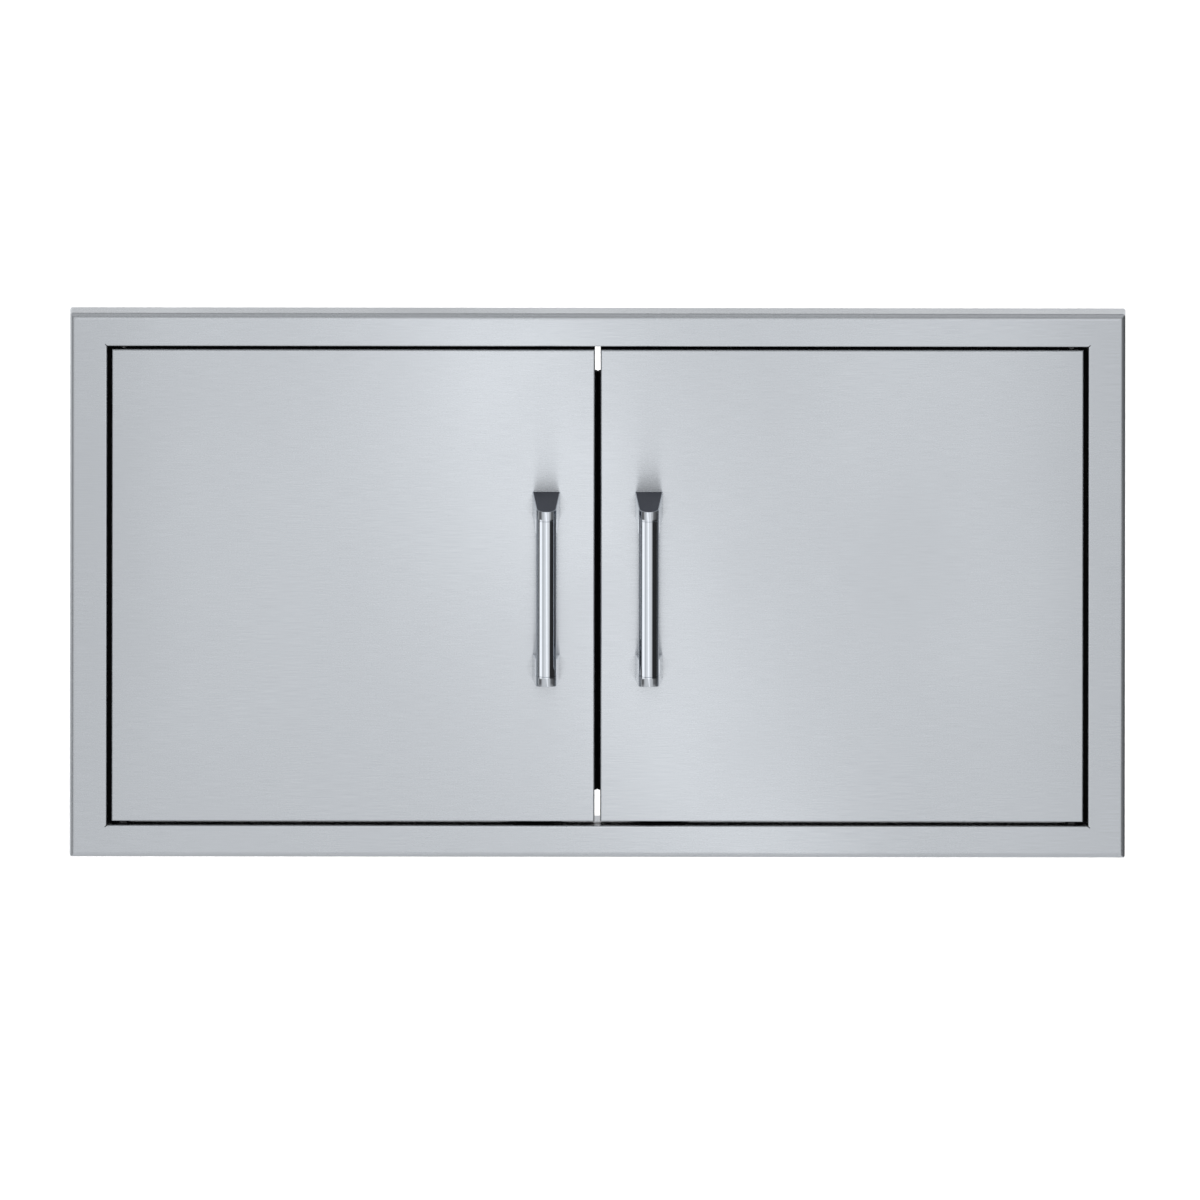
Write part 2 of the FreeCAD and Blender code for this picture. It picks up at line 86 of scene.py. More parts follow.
def rings(bm, outlines, closed=False):
    """Faces between rings of points. The end rings are filled unless the row closes on itself."""
    rows = [[bm.verts.new(point) for point in outline] for outline in outlines]
    pairs = list(zip(rows, rows[1:]))
    if closed:
        pairs.append((rows[-1], rows[0]))
    for first, second in pairs:
        count = len(first)
        for i in range(count):
            j = (i + 1) % count
            bm.faces.new((first[i], first[j], second[j], second[i]))
    if not closed:
        bm.faces.new(rows[0][::-1])
        bm.faces.new(rows[-1])


def square_to(axis):
    """Two directions square to an axis and to each other."""
    across = axis.orthogonal().normalized()
    return across, axis.cross(across)


def circle(radius, centre, across, up, count):
    """Points round a circle."""
    points = []
    for i in range(count):
        angle = 2 * math.pi * i / count
        points.append(centre + across * (radius * math.cos(angle))
                      + up * (radius * math.sin(angle)))
    return points


def turned(name, profile, base, axis, material, count, closed=False):
    """A turned piece: the profile is (distance along the axis, radius)."""
    across, up = square_to(axis)
    bm = bmesh.new()
    rings(bm, [circle(r, base + axis * d, across, up, count) for d, r in profile], closed)
    return new_piece(name, bm, material)


# Finishes

# The sheet's grain runs along X. Its gloss has clouds, and streaks that multiply them.
GRAIN_STRETCH = (0.025, 1.0, 1.0)
GRAIN_SCALE = 1500.0
GRAIN_DETAIL = 5.0
GRAIN_STRENGTH = 0.12
GRAIN_DEPTH = 0.00003
GRAIN_AXIS = (1, 0, 0.005)
HIGHLIGHT_STRETCH = 0.95
STREAK_STRETCH = (0.0575, 2.3, 2.3)
STREAK_SCALE = 1900.0
STREAK_RANGE = (0.94, 1.08)
SHEET_CLOUD_SCALE = 5.0
# Plain finishes have even mottling and clouds.
EVEN = (1, 1, 1)
MOTTLE_DETAIL = 4.0
CLOUD_SCALE = 14.0
CLOUD_DETAIL = 2.0
# Most of a noise texture lies in this range.
NOISE_LOW = 0.25
NOISE_HIGH = 0.75
# Painted shade darkens what lies deep in a gap, measured by how much is open within GAP_REACH.
GAP_REACH = 0.022
GAP_SAMPLES = 8
# The near black colour painted deep in the gaps as shade.
PAINTED_GAP_SHADE = (0.012, 0.012, 0.013)


class Nodes:
    """A node tree with the few helpers that the finishes and the studio need."""

    def __init__(self, tree):
        self.tree = tree

    def add(self, kind, **settings):
        node = self.tree.nodes.new(kind)
        for key, value in settings.items():
            setattr(node, key, value)
        return node

    def feed(self, source, target):
        """Links an output to a socket, or sets the socket to a number or colour."""
        if isinstance(source, (float, tuple)):
            target.default_value = source
        else:
            self.tree.links.new(source, target)

    def spread(self, source, low, high, from_low=NOISE_LOW, from_high=NOISE_HIGH):
        """The source's range from_low to from_high, spread over low to high."""
        span = self.add("ShaderNodeMapRange")
        span.inputs["From Min"].default_value = from_low
        span.inputs["From Max"].default_value = from_high
        span.inputs["To Min"].default_value = low
        span.inputs["To Max"].default_value = high
        self.feed(source, span.inputs["Value"])
        return span.outputs["Result"]

    def calculate(self, operation, *values):
        result = self.add("ShaderNodeMath", operation=operation)
        for value, socket in zip(values, result.inputs):
            self.feed(value, socket)
        return result.outputs[0]

    def blend(self, factor, first, second, mode="MIX"):
        mix = self.add("ShaderNodeMix", data_type="RGBA", blend_type=mode)
        self.feed(factor, mix.inputs[0])
        for colour, socket in ((first, mix.inputs[6]), (second, mix.inputs[7])):
            self.feed((*colour, 1.0) if isinstance(colour, tuple) else colour, socket)
        return mix.outputs[2]

    def ramp(self, source, stops):
        """Grey levels along the source, from pairs of position and level."""
        ramp = self.add("ShaderNodeValToRGB")
        elements = ramp.color_ramp.elements
        while len(elements) < len(stops):
            elements.new(0.5)
        for element, (position, level) in zip(elements, stops):
            element.position = position
            element.color = (level, level, level, 1.0)
        self.feed(source, ramp.inputs[0])
        return ramp.outputs["Color"]


class Shader(Nodes):
    """A new material, with textures in the piece's own coordinates."""

    def __init__(self, name):
        self.material = bpy.data.materials.new(name)
        self.material.use_nodes = True
        super().__init__(self.material.node_tree)
        self.surface = self.tree.nodes["Principled BSDF"].inputs
        self.place = self.add("ShaderNodeTexCoord").outputs["Object"]

    def noise(self, stretch, scale, detail):
        mapping = self.add("ShaderNodeMapping")
        mapping.inputs["Scale"].default_value = stretch
        self.feed(self.place, mapping.inputs["Vector"])
        noise = self.add("ShaderNodeTexNoise")
        noise.inputs["Scale"].default_value = scale
        noise.inputs["Detail"].default_value = detail
        self.feed(mapping.outputs["Vector"], noise.inputs["Vector"])
        return noise.outputs["Fac"]

    def open_air(self, low, high):
        """1 where a surface lies open and 0 deep in a gap, where shade is painted."""
        occlusion = self.add("ShaderNodeAmbientOcclusion", samples=GAP_SAMPLES)
        occlusion.inputs["Distance"].default_value = GAP_REACH
        return self.spread(occlusion.outputs["AO"], 0.0, 1.0, low, high)

    def bump(self, height, strength, distance):
        bump = self.add("ShaderNodeBump")
        bump.inputs["Strength"].default_value = strength
        bump.inputs["Distance"].default_value = distance
        self.feed(height, bump.inputs["Height"])
        self.feed(bump.outputs["Normal"], self.surface["Normal"])

    def stretch_highlights(self, grain_axis, amount):
        """Stretches highlights across the grain. Its axis leans a little, so that the direction
        also holds on faces square to the grain."""
        self.surface["Anisotropic"].default_value = amount
        cross = self.add("ShaderNodeVectorMath", operation="CROSS_PRODUCT")
        self.feed(self.add("ShaderNodeNewGeometry").outputs["Normal"], cross.inputs[0])
        self.feed(grain_axis, cross.inputs[1])
        self.feed(cross.outputs["Vector"], self.surface["Tangent"])


def brushed(name, low, high, rough, gap_shade=(0.27, 0.55)):
    """Brushed stainless steel with its grain along X, with painted shade that makes it dull and
    dark deep in the gaps.
    """
    steel = Shader(name)
    grain = steel.noise(GRAIN_STRETCH, GRAIN_SCALE, GRAIN_DETAIL)
    fine = steel.noise(STREAK_STRETCH, STREAK_SCALE, CLOUD_DETAIL)
    cloud = steel.noise(EVEN, SHEET_CLOUD_SCALE, CLOUD_DETAIL)
    face = steel.blend(grain, low, high)
    # Painted shade: deep in the gaps the colour goes near black and the reflection goes out.
    air = steel.open_air(*gap_shade)
    steel.feed(air, steel.surface["Metallic"])
    steel.feed(air, steel.surface["Specular IOR Level"])
    steel.feed(steel.blend(air, PAINTED_GAP_SHADE, face), steel.surface["Base Color"])
    gloss = steel.spread(cloud, *rough)
    streak = steel.spread(fine, *STREAK_RANGE)
    steel.feed(steel.calculate("MULTIPLY", gloss, streak), steel.surface["Roughness"])
    steel.stretch_highlights(GRAIN_AXIS, HIGHLIGHT_STRETCH)
    steel.bump(grain, GRAIN_STRENGTH, GRAIN_DEPTH)
    return steel.material


def plain(name, metallic, low, high, rough, scale=220.0, depth=0.00003, strength=0.2,
          specular=0.5, gap_shade=None):
    """A finish with fine mottling in colour, gloss and surface. With the gap shade it has painted
    shade in gaps, dark and without shine.
    """
    finish = Shader(name)
    grain = finish.noise(EVEN, scale, MOTTLE_DETAIL)
    cloud = finish.noise(EVEN, CLOUD_SCALE, CLOUD_DETAIL)
    finish.surface["Metallic"].default_value = metallic
    finish.surface["Specular IOR Level"].default_value = specular
    face = finish.blend(grain, low, high)
    if gap_shade:
        # Painted shade: deep in the gaps the colour goes near black and the shine goes out.
        air = finish.open_air(*gap_shade)
        face = finish.blend(air, PAINTED_GAP_SHADE, face)
        if metallic:
            finish.feed(air, finish.surface["Metallic"])
        shine = finish.spread(air, 0.0, specular, 0.0, 1.0)
        finish.feed(shine, finish.surface["Specular IOR Level"])
    finish.feed(face, finish.surface["Base Color"])
    finish.feed(finish.spread(cloud, *rough), finish.surface["Roughness"])
    finish.bump(grain, strength, depth)
    return finish.material


# Each finish has the two colours that it varies between, and its range of roughness.
# The brushed sheets, the pivot steel, the oiled steel and the nylon have painted shade deep in
# the gaps.
SHEET = brushed("brushed_steel", (0.442, 0.464, 0.492), (0.544, 0.570, 0.603), (0.24, 0.30))
INNER_SHEET = brushed("liner_steel", (0.43, 0.45, 0.47), (0.49, 0.51, 0.53), (0.30, 0.40))
CHROME = plain("chrome", 1.0, (0.500, 0.530, 0.570), (0.530, 0.560, 0.600), (0.03, 0.07),
               depth=0.000002, strength=0.05)
SLATE = plain("slate_inlay", 0.0, (0.022, 0.025, 0.035), (0.031, 0.035, 0.047), (0.5, 0.62),
              scale=900.0)
PIVOT = plain("pivot_steel", 1.0, (0.45, 0.46, 0.47), (0.55, 0.56, 0.57), (0.25, 0.4),
              gap_shade=(0.15, 0.45))
OILED = plain("oiled_steel", 1.0, (0.3, 0.3, 0.31), (0.4, 0.4, 0.41), (0.3, 0.45),
              gap_shade=(0.6, 0.95))
SCREW = plain("screw_zinc", 1.0, (0.55, 0.56, 0.57), (0.66, 0.67, 0.68), (0.2, 0.32),
              scale=600.0)
NYLON = plain("bush_nylon", 0.0, (0.012, 0.012, 0.013), (0.02, 0.02, 0.022), (0.35, 0.5),
              gap_shade=(0.6, 0.95))
CATCH = plain("catch_plastic", 0.0, (0.25, 0.26, 0.27), (0.3, 0.31, 0.32), (0.4, 0.55))
RUBBER = plain("seal_rubber", 0.0, (0.006, 0.006, 0.006), (0.012, 0.012, 0.012), (0.75, 0.9),
               specular=0.15)
PAINT = plain("floor_paint", 0.0, (0.93, 0.93, 0.93), (0.96, 0.96, 0.96), (0.7, 0.8))

# The first of these keys that a node's name holds gives its finish.
FINISHES = {
    "stile": SHEET, "rail": SHEET, "skin": SHEET, "liner": INNER_SHEET, "inlay": SLATE,
    "handle_tube": CHROME, "handle_post": CHROME, "bush": NYLON, "catch_housing": CATCH,
    "seal": RUBBER, "carrier": PIVOT, "lower_hinge_pin": OILED, "pin": PIVOT, "spring": PIVOT,
    "magnet": PIVOT, "strike": PIVOT,
}


def finish_nodes():
    for name, node in NODES.items():
        material = next(value for key, value in FINISHES.items() if key in name)
        for index in range(len(node.data.materials)):
            node.data.materials[index] = material


# Handles

TUBE_WALL = 0.0015
TUBE_SIDES = 96
SEAM = 0.00045
# A post leans in by POST_LEAN over POST_REACH, the way from the leaf to its nose.
POST_LEAN = 0.0069
POST_REACH = 0.0622
POST_HEIGHT = 0.027
NOSE_STEPS = 40
# The edges off the leaf are rounded, and the cap is sunk inside a rim.
EDGE_ANGLE = math.radians(25)
EDGE_ROUND = 0.0004
EDGE_STEPS = 3
RIM_WIDTH = 0.0006
RECESS_DRAFT = 0.00002
RECESS_DEPTH = 0.0008
LEVEL = 0.9
# The lips end this far behind the tube's centre.
LIP_SETBACK = 0.005
SEAT_FIT = 0.0001
SEAT_LENGTH = 0.06
BRACKET_SMOOTH = 15.0
# Points closer than these count as level with each other, and as the same.
TOUCHING = 1e-6
SAME_POINT = 1e-7


def handle_sizes(side):
    """The handle's main sizes, read from the solids."""
    tube_low, tube_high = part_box(side + "_handle_tube")
    post_low, post_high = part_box(side + "_upper_handle_post")
    lower_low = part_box(side + "_lower_handle_post")[0]
    return {
        "x": (tube_low.x + tube_high.x) / 2,
        "y": (tube_low.y + tube_high.y) / 2,
        "radius": (tube_high.x - tube_low.x) / 2,
        "half": (post_high.x - post_low.x) / 2,
        "leaf": post_high.y,
        "upper_tip": post_high.z,
        "lower_tip": lower_low.z,
        "upper_shoulder": tube_high.z,
        "lower_shoulder": tube_low.z,
    }


def handle_tube(side):
    """The polished tube, with small chamfers that show as dark seams where it meets its posts."""
    size = handle_sizes(side)
    length = size["upper_shoulder"] - size["lower_shoulder"]
    radius = size["radius"]
    bore = radius - TUBE_WALL
    profile = [(0.0, bore), (0.0, radius - SEAM), (SEAM, radius), (length - SEAM, radius),
               (length, radius - SEAM), (length, bore)]
    base = Vector((size["x"], size["y"], size["lower_shoulder"]))
    return turned(side + "_grip", profile, base, UP, CHROME, TUBE_SIDES, closed=True)


def tube_seat(size, shoulder, sign):
    """What a post leaves free below its cap: the tube's place and all in front of the lips."""
    radius = size["radius"] + SEAT_FIT
    start = math.asin(LIP_SETBACK / radius)
    outline = []
    for i in range(NOSE_STEPS + 1):
        angle = start + (math.pi - 2 * start) * i / NOSE_STEPS
        outline.append((size["x"] + radius * math.cos(angle),
                        size["y"] + radius * math.sin(angle)))
    wide = 2 * radius
    outline += [(size["x"] - wide, outline[-1][1]), (size["x"] - wide, size["y"] - wide),
                (size["x"] + wide, size["y"] - wide), (size["x"] + wide, outline[0][1])]
    levels = (shoulder, shoulder - sign * SEAT_LENGTH)
    bm = bmesh.new()
    rings(bm, [[Vector((x, y, z)) for x, y in outline] for z in levels])
    return new_piece("tube_seat", bm, CHROME)


def leaning_arm(size, tip, sign):
    """A post without its seat: a leaning arm with a round nose, whose cap has a rim."""

    def end_level(y):
        return tip - sign * POST_LEAN * (size["leaf"] - y) / POST_REACH

    plan = [(size["half"], size["leaf"])]
    for i in range(NOSE_STEPS + 1):
        angle = math.pi * i / NOSE_STEPS
        plan.append((size["radius"] * math.cos(angle),
                     size["y"] - size["radius"] * math.sin(angle)))
    plan.append((-size["half"], size["leaf"]))

    bm = bmesh.new()
    outer = [Vector((size["x"] + x, y, end_level(y))) for x, y in plan]
    rings(bm, [outer, [v - Vector((0, 0, sign * POST_HEIGHT)) for v in outer]])
    bmesh.ops.recalc_face_normals(bm, faces=bm.faces)
    sharp = [e for e in bm.edges if e.calc_face_angle() > EDGE_ANGLE]
    rim = [e for e in sharp if any(abs(v.co.y - size["leaf"]) > TOUCHING for v in e.verts)]
    bmesh.ops.bevel(bm, geom=rim, offset=EDGE_ROUND, segments=EDGE_STEPS, affect="EDGES",
                    profile=0.5)
    cap = max((f for f in bm.faces if f.normal.z * sign > LEVEL), key=lambda f: f.calc_area())
    bmesh.ops.inset_region(bm, faces=[cap], thickness=RIM_WIDTH, depth=0.0)
    bmesh.ops.inset_region(bm, faces=[cap], thickness=RECESS_DRAFT, depth=-RECESS_DEPTH)
    return new_piece("whole_post", bm, CHROME)


def handle_post(side, end):
    """A post: an arm that leans in from the leaf, cut to hold the tube from behind."""
    size = handle_sizes(side)
    sign = UPWARD[end]
    post = leaning_arm(size, size[end + "_tip"], sign)
    seat = tube_seat(size, size[end + "_shoulder"], sign)
    cut = post.modifiers.new("seat", "BOOLEAN")
    cut.operation = "DIFFERENCE"
    cut.solver = "EXACT"
    cut.object = seat
    bpy.context.view_layer.update()
    shape = post.evaluated_get(bpy.context.evaluated_depsgraph_get()).to_mesh()
    cleaned = bmesh.new()
    cleaned.from_mesh(shape)
    bmesh.ops.remove_doubles(cleaned, verts=cleaned.verts, dist=SAME_POINT)
    bpy.data.objects.remove(seat)
    bpy.data.objects.remove(post)
    return new_piece(f"{side}_{end}_bracket", cleaned, CHROME, BRACKET_SMOOTH)


def build_handles():
    for side in SIDES:
        body = side + "_door"
        tube = handle_tube(side)
        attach(tube, body)
        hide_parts(side + "_handle_tube")
        for end in ENDS:
            post = handle_post(side, end)
            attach(post, body)
            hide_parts(f"{side}_{end}_handle_post")


# Small fasteners

# Heads are (radius, height).
SCREW_HEAD = (0.0033, 0.0016)
SCREW_OFFSET = 0.023
CATCH_FLANGE = 0.0025
RIVET_HEAD = (0.0025, 0.0009)
RIVET_OFFSET = 0.024
RIVET_SIDES = 32
PLUG_HEAD = (0.0085, 0.0014)
PLUG_INSET = 0.0135
PLUG_SIDES = 48
# Shares of a head's height and radius.
RIM_HEIGHT = 0.3
RIM_FOOT = 0.97
DOME_TIP = 0.02
DOME_STEPS = 8
# A screw's dome ends this many rings early, at the mouth of its cross recess.
DOME_LEFT_OPEN = 3
SCREW_SIDES = 48
CROSS_DEPTH = 0.7
CROSS_TAPER = 0.7
CROSS_REACH = 0.62
CROSS_CORE = 0.2
CROSS_ARM = 0.97


def dome_profile(radius, height):
    """A low domed head with a short straight rim."""
    rim = height * RIM_HEIGHT
    profile = [(0.0, radius * RIM_FOOT), (rim, radius)]
    for i in range(1, DOME_STEPS + 1):
        angle = math.pi / 2 * i / DOME_STEPS
        profile.append((rim + (height - rim) * math.sin(angle),
                        max(radius * math.cos(angle), radius * DOME_TIP)))
    return profile


def screw_head(name, base, axis):
    """A domed head with a cross recess: the dome, open at the top, runs on into a sunk star."""
    radius, height = SCREW_HEAD
    across, up = square_to(axis)
    dome = dome_profile(radius, height)[:-DOME_LEFT_OPEN]
    top = dome[-1][0]
    outlines = [circle(r, base + axis * d, across, up, SCREW_SIDES) for d, r in dome]
    for level, scale in ((top, 1.0), (top - height * CROSS_DEPTH, CROSS_TAPER)):
        star = []
        for i in range(SCREW_SIDES):
            angle = 2 * math.pi * i / SCREW_SIDES
            on_arm = max(abs(math.cos(angle)), abs(math.sin(angle))) > CROSS_ARM
            r = radius * scale * (CROSS_REACH if on_arm else CROSS_CORE)
            star.append(base + axis * level + across * (r * math.cos(angle))
                        + up * (r * math.sin(angle)))
        outlines.append(star)
    bm = bmesh.new()
    rings(bm, outlines)
    return new_piece(name, bm, SCREW)


def build_fasteners():
    for side in SIDES:
        for end in ENDS:
            sign = UPWARD[end]
            low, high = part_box(f"{end}_{side}_catch_housing")
            foot = high.z if end == "upper" else low.z
            for k, offset in enumerate((-SCREW_OFFSET, SCREW_OFFSET)):
                base = Vector(((low.x + high.x) / 2 + offset, (low.y + high.y) / 2,
                               foot - sign * CATCH_FLANGE))
                head = screw_head(f"{end}_{side}_catch_screw_{k}", base, Vector((0, 0, -sign)))
                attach(head, "frame")
            low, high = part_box(f"{side}_{end}_strike_plate")
            middle = (low + high) / 2
            for k, offset in enumerate((-RIVET_OFFSET, RIVET_OFFSET)):
                base = Vector((middle.x + offset, high.y, middle.z))
                rivet = turned(f"{side}_{end}_strike_rivet_{k}", dome_profile(*RIVET_HEAD),
                               base, BACK, PIVOT, RIVET_SIDES)
                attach(rivet, side + "_door")
        size = handle_sizes(side)
        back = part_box(side + "_door_liner")[1].y
        for end in ENDS:
            base = Vector((size["x"], back, size[end + "_tip"] - UPWARD[end] * PLUG_INSET))
            plug = turned(f"{side}_{end}_access_plug", dome_profile(*PLUG_HEAD), base, BACK,
                          NYLON, PLUG_SIDES)
            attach(plug, side + "_door")


# Centre seals

# A bulb's round reaches this far past the middle of the gap, before it is pressed flat.
BULB_RADIUS = 0.0066
BULB_PRESSED = 0.00011
BULB_STEPS = 120
BULB_NECK = math.radians(38)
# The flat slopes, and keeps MEETING_GAP to a plane between the two leaves.
MEETING_SLOPE = 0.2
MEETING_GAP = 0.00001
MEETING_REACH = 0.001
# The foot runs between these distances from the middle.
SEAL_FOOT = (0.0044, 0.0172)
SEAL_FOOT_HEIGHT = 0.0022
SEAL_WALL = 0.0012
SEAL_HOLLOW = 0.004
SEAL_HOLLOW_DRAFT = 0.0002


def seal_outline(sign, foot, rear):
    """A bulb on a flat foot. It is flat on a slant where it meets the other leaf's bulb."""
    centre = Vector((sign * (BULB_RADIUS - BULB_PRESSED), rear - BULB_RADIUS, 0))
    outline = []
    for i in range(BULB_STEPS + 1):
        angle = -math.pi / 2 + BULB_NECK + (2 * math.pi - 2 * BULB_NECK) * i / BULB_STEPS
        x = centre.x + BULB_RADIUS * math.cos(angle)
        y = centre.y + BULB_RADIUS * math.sin(angle)
        if abs(x) < MEETING_REACH:
            meeting = MEETING_SLOPE * (y - centre.y) + sign * MEETING_GAP
            x = sign * max(sign * x, sign * meeting)
        outline.append((x, y))
    first, last = sorted(sign * x for x in SEAL_FOOT)
    lip = foot + SEAL_FOOT_HEIGHT
    return outline + [(first, lip), (first, foot), (last, foot), (last, lip)]


def build_seals():
    """Bulb seals with hollow ends, which press on each other in the middle of the gap."""
    for side in SIDES:
        low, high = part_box(side + "_centre_seal")
        outline = seal_outline(RIGHTWARD[side], low.y, high.y)
        bm = bmesh.new()
        rings(bm, [[Vector((x, y, z)) for x, y in outline] for z in (low.z, high.z)])
        for level in (low.z, high.z):
            faces = [f for f in bm.faces if all(abs(v.co.z - level) < TOUCHING for v in f.verts)]
            bmesh.ops.inset_region(bm, faces=faces, thickness=SEAL_WALL, depth=0.0)
            bmesh.ops.inset_region(bm, faces=faces, thickness=SEAL_HOLLOW_DRAFT,
                                   depth=-SEAL_HOLLOW)
        seal = new_piece(side + "_bulb_seal", bm, RUBBER)
        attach(seal, side + "_door")
        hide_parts(side + "_centre_seal")


# Springs

SOFT_SMOOTH = 60.0
WIRE = 0.001
WIRE_SIDES = 10
COIL_RADIUS = 0.00435
COIL_TURNS = 6
TURN_STEPS = 24
END_CLOSING = 0.6


def coil_outlines(middle, foot, length):
    """Rings of points along a coil, whose pitch falls by END_CLOSING at both ends."""
    path = []
    for i in range(COIL_TURNS * TURN_STEPS + 1):
        share = i / (COIL_TURNS * TURN_STEPS)
        angle = 2 * math.pi * COIL_TURNS * share
        rise = share - END_CLOSING * math.sin(2 * math.pi * share) / (2 * math.pi)
        out = Vector((math.cos(angle), math.sin(angle), 0))
        level = foot + WIRE / 2 + (length - WIRE) * rise
        path.append((out, Vector((middle.x, middle.y, level)) + out * COIL_RADIUS))
    outlines = []
    for i, (out, centre) in enumerate(path):
        ahead = path[min(i + 1, len(path) - 1)][1] - path[max(i - 1, 0)][1]
        outlines.append(circle(WIRE / 2, centre, out, ahead.normalized().cross(out), WIRE_SIDES))
    return outlines


def build_springs():
    """The pin springs as smooth coils."""
    for side in SIDES:
        low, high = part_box(f"{side}_pin_spring")
        middle = (low + high) / 2
        length = high.z - low.z
        bm = bmesh.new()
        rings(bm, coil_outlines(middle, low.z, length))
        spring = new_piece(f"{side}_spring_coil", bm, PIVOT, SOFT_SMOOTH)
        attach(spring, f"{side}_door")
        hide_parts(f"{side}_pin_spring")
        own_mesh(spring)


# Painted shade in the corner slits

SHEET_THICKNESS = 0.0012
DAB_REACH = 0.0052
DAB_DEPTH = 0.0026
DAB_ROUND = 0.0009
DAB_ROUND_STEPS = 4
DAB_FRONT = -0.0308
DAB_OVERLAP = (0.0012, 0.0024)
DAB_BULGE = 0.0004
DAB_WAVES = (2100, 1300)


def build_slit_shades():
    """Dark dabs behind the relief slits at the corners of the opening: dark pieces put there as
    painted shade, which keep the light from behind out of the slits.
    """
    half_width = -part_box("left_jamb_seal")[0].x
    half_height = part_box("frame_top_rail")[0].z + SHEET_THICKNESS
    for side in SIDES:
        for end in ENDS:
            bm = bmesh.new()
            bmesh.ops.create_cube(bm, size=1.0)
            bmesh.ops.scale(bm, vec=(DAB_REACH, DAB_DEPTH, DAB_REACH), verts=bm.verts)
            bmesh.ops.bevel(bm, geom=bm.edges[:], offset=DAB_ROUND, segments=DAB_ROUND_STEPS,
                            affect="EDGES", profile=0.5)
            for vert in bm.verts:
                wave = math.sin(vert.co.x * DAB_WAVES[0] + vert.co.z * DAB_WAVES[1])
                vert.co.y += DAB_BULGE * wave * (vert.co.y > 0)
            middle = Vector((RIGHTWARD[side] * (half_width + DAB_REACH / 2 - DAB_OVERLAP[0]),
                             DAB_FRONT + DAB_DEPTH / 2,
                             UPWARD[end] * (half_height + DAB_REACH / 2 - DAB_OVERLAP[1])))
            bmesh.ops.translate(bm, vec=middle, verts=bm.verts)
            dab = new_piece(f"{side}_{end}_slit_shade", bm, RUBBER, SOFT_SMOOTH)
            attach(dab, "frame")


# Camera: it looks down 13 degrees on the front of the doors

LOOK_DOWN = math.radians(13.0)
ROLL = math.radians(0.07)
PHOTO_PIXELS = 1200
METRES_PER_PIXEL = 1.011e-3
FRONT_PLANE = -0.032
CENTRE_RIGHT = 2.45
CENTRE_DOWN = 13.7
CAMERA_DISTANCE = 3.0
CAMERA_CLIP = (0.01, 100.0)


def add_camera():
    level_up = Vector((0, math.sin(LOOK_DOWN), math.cos(LOOK_DOWN)))
    across = Vector((1, 0, 0))
    right = across * math.cos(ROLL) + level_up * math.sin(ROLL)
    up = level_up * math.cos(ROLL) - across * math.sin(ROLL)
    forward = Vector((0, math.cos(LOOK_DOWN), -math.sin(LOOK_DOWN)))
    aim = Vector((0, FRONT_PLANE, 0))
    aim += (right * CENTRE_RIGHT - up * CENTRE_DOWN) * METRES_PER_PIXEL
    data = bpy.data.cameras.new("camera")
    data.type = "ORTHO"
    data.ortho_scale = METRES_PER_PIXEL * PHOTO_PIXELS
    data.clip_start, data.clip_end = CAMERA_CLIP
    camera = new_object("camera", data)
    axes = Matrix((right, up, -forward)).transposed()
    place = aim - forward * CAMERA_DISTANCE
    camera.matrix_world = Matrix.Translation(place) @ axes.to_4x4()
    bpy.context.scene.camera = camera


# Light. The compass direction is in degrees from the front, and right is positive.

# Brightness by compass direction in the narrow belt that the upright chrome mirrors.
BELT = (
    (-180, 0.9), (-160, 0.9), (-150, 0.4), (-100, 0.4), (-92, 0.12), (-84, 0.12), (-76, 1.75),
    (-51, 1.7), (-46, 0.9), (-40, 0.9), (-34, 0.95), (35, 0.95), (42, 0.04), (150, 0.03),
    (160, 0.9), (180, 0.9),
)
# The same above and below that belt.
WIDE = (
    (-180, 0.95), (-97, 0.95), (-86, 0.2), (-60, 0.2), (-48, 0.75), (-27, 0.95), (23, 0.95),
    (44, 0.7), (53, 0.25), (80, 0.15), (102, 0.08), (146, 0.08), (158, 0.9), (180, 0.95),
)
# Brightness above the horizon, by the sine of the elevation.
RISE = (
    (0.0, 1.1), (0.2, 1.6), (0.36, 1.6), (0.5, 0.7), (0.62, 0.42), (0.88, 0.42), (0.96, 0.8),
    (1.0, 0.8),
)
# The share of that brightness which is left, by compass direction.
RISE_SHARE = (
    (-180, 1.0), (-105, 1.0), (-90, 0.2), (-58, 0.2), (-42, 1.0), (42, 1.0), (54, 0.12),
    (115, 0.12), (140, 1.0), (180, 1.0),
)
# Heights are sines of the elevation too, and each fade runs from none to full. The belt's is
# the distance from its middle.
BELT_HEIGHT = -0.225
BELT_FADE = (0.045, 0.02)
SKY_FADE = (0.0, 0.22)
GROUND_FADE = (-0.36, -0.50)
GROUND_BRIGHTNESS = 0.9
# Brightness is divided by this in the node tree, and multiplied by it in the background.
WORLD_STRENGTH = 2.0

SUN_STRENGTH = 2.4
SUN_SPREAD = math.radians(50)

# Name, centre, width, height, tilt in degrees, brightness. They face the doors squarely.
PANELS = (
    ("band", (0.022, -0.75, -0.17), 0.125, 1.1, 26.0, 0.50),
    ("band_side", (-0.11, -0.78, -0.03), 0.30, 0.7, 27.0, 0.09),
    ("second", (0.33, -0.8, -0.02), 0.16, 0.5, 27.0, 0.08),
    ("broad", (0.0, -1.1, -0.07), 0.92, 0.58, 0.0, 0.25),
)


def by_compass(stops, scale=1.0):
    """Ramp positions from 0 to 1 for compass directions from -180 to 180 degrees."""
    return [((angle + 180) / 360, value / scale) for angle, value in stops]


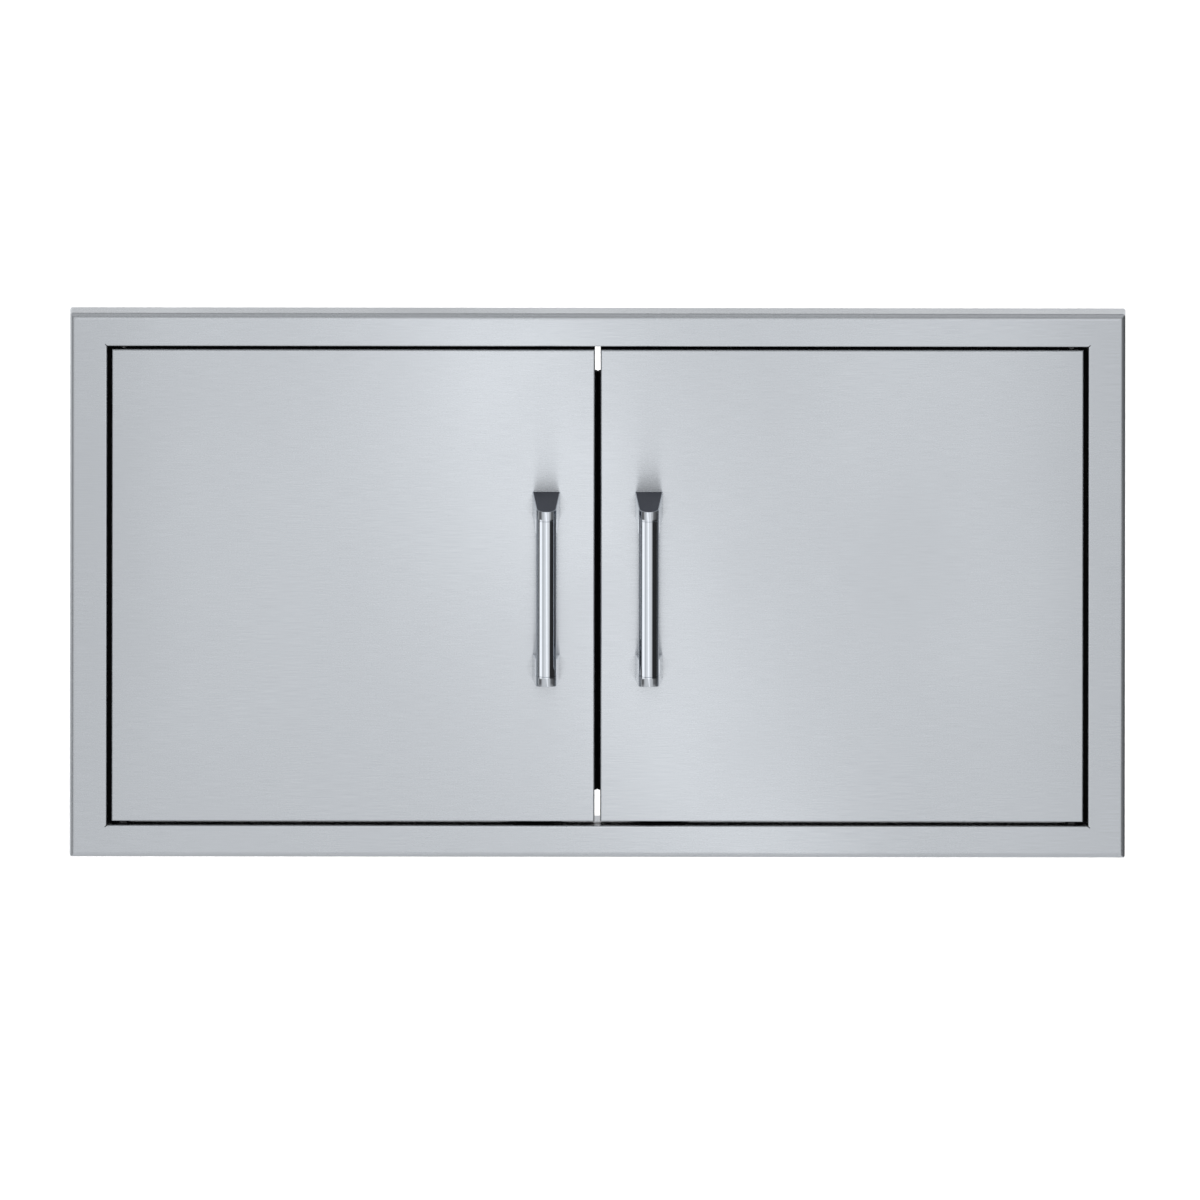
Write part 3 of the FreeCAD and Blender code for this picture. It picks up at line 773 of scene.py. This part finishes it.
def add_world():
    """The studio that the steel and the chrome mirror, which also lights the scene."""
    world = bpy.data.worlds.new("studio")
    world.use_nodes = True
    studio = Nodes(world.node_tree)
    direction = studio.add("ShaderNodeSeparateXYZ")
    studio.feed(studio.add("ShaderNodeTexCoord").outputs["Generated"], direction.inputs[0])
    height = direction.outputs["Z"]
    forward = studio.calculate("MULTIPLY", direction.outputs["Y"], -1.0)
    bearing = studio.calculate("ARCTAN2", direction.outputs["X"], forward)
    compass = studio.spread(bearing, 0.0, 1.0, -math.pi, math.pi)

    from_belt = studio.calculate("ABSOLUTE", studio.calculate("SUBTRACT", height, BELT_HEIGHT))
    around = studio.blend(studio.spread(from_belt, 0.0, 1.0, *BELT_FADE),
                          studio.ramp(compass, by_compass(WIDE, WORLD_STRENGTH)),
                          studio.ramp(compass, by_compass(BELT, WORLD_STRENGTH)))
    sky = studio.blend(1.0,
                       studio.ramp(height, [(at, value / WORLD_STRENGTH) for at, value in RISE]),
                       studio.ramp(compass, by_compass(RISE_SHARE)), mode="MULTIPLY")
    above = studio.blend(studio.spread(height, 0.0, 1.0, *SKY_FADE), around, sky)
    ground = (GROUND_BRIGHTNESS / WORLD_STRENGTH,) * 3
    whole = studio.blend(studio.spread(height, 0.0, 1.0, *GROUND_FADE), above, ground)

    background = studio.tree.nodes["Background"]
    studio.feed(whole, background.inputs["Color"])
    background.inputs["Strength"].default_value = WORLD_STRENGTH
    bpy.context.scene.world = world


def add_panel(name, centre, width, height, tilt, brightness):
    """A soft panel light of even brightness. The camera doesn't see it."""
    light = bpy.data.lights.new(name, "AREA")
    light.shape = "RECTANGLE"
    light.size = width
    light.size_y = height
    light.energy = brightness * width * height * math.pi
    panel = new_object(name, light)
    facing = BACK.to_track_quat("-Z", "Y").to_matrix().to_4x4()
    turn = Matrix.Rotation(math.radians(tilt), 4, "Z")
    panel.matrix_world = Matrix.Translation(centre) @ facing @ turn
    panel.visible_camera = False


def add_lights():
    sun = bpy.data.lights.new("overhead", "SUN")
    sun.energy = SUN_STRENGTH
    sun.angle = SUN_SPREAD
    lamp = new_object("overhead", sun)
    lamp.visible_camera = False
    lamp.visible_glossy = False
    for panel in PANELS:
        add_panel(*panel)


# Floor

FLOOR_LEVEL = -1.2
FLOOR_REACH = 14.0


def add_floor():
    """A plain pale floor, which the steel doesn't mirror."""
    mesh = bpy.data.meshes.new("floor")
    corners = [(x * FLOOR_REACH, y * FLOOR_REACH, FLOOR_LEVEL)
               for x, y in ((-1, -1), (1, -1), (1, 1), (-1, 1))]
    mesh.from_pydata(corners, [], [(0, 1, 2, 3)])
    floor = new_object("floor", mesh)
    mesh.materials.append(PAINT)
    floor.visible_glossy = False


finish_nodes()
build_handles()
build_fasteners()
build_seals()
build_springs()
build_slit_shades()
add_world()
add_lights()
add_camera()
add_floor()

bpy.context.scene.view_settings.view_transform = "Standard"
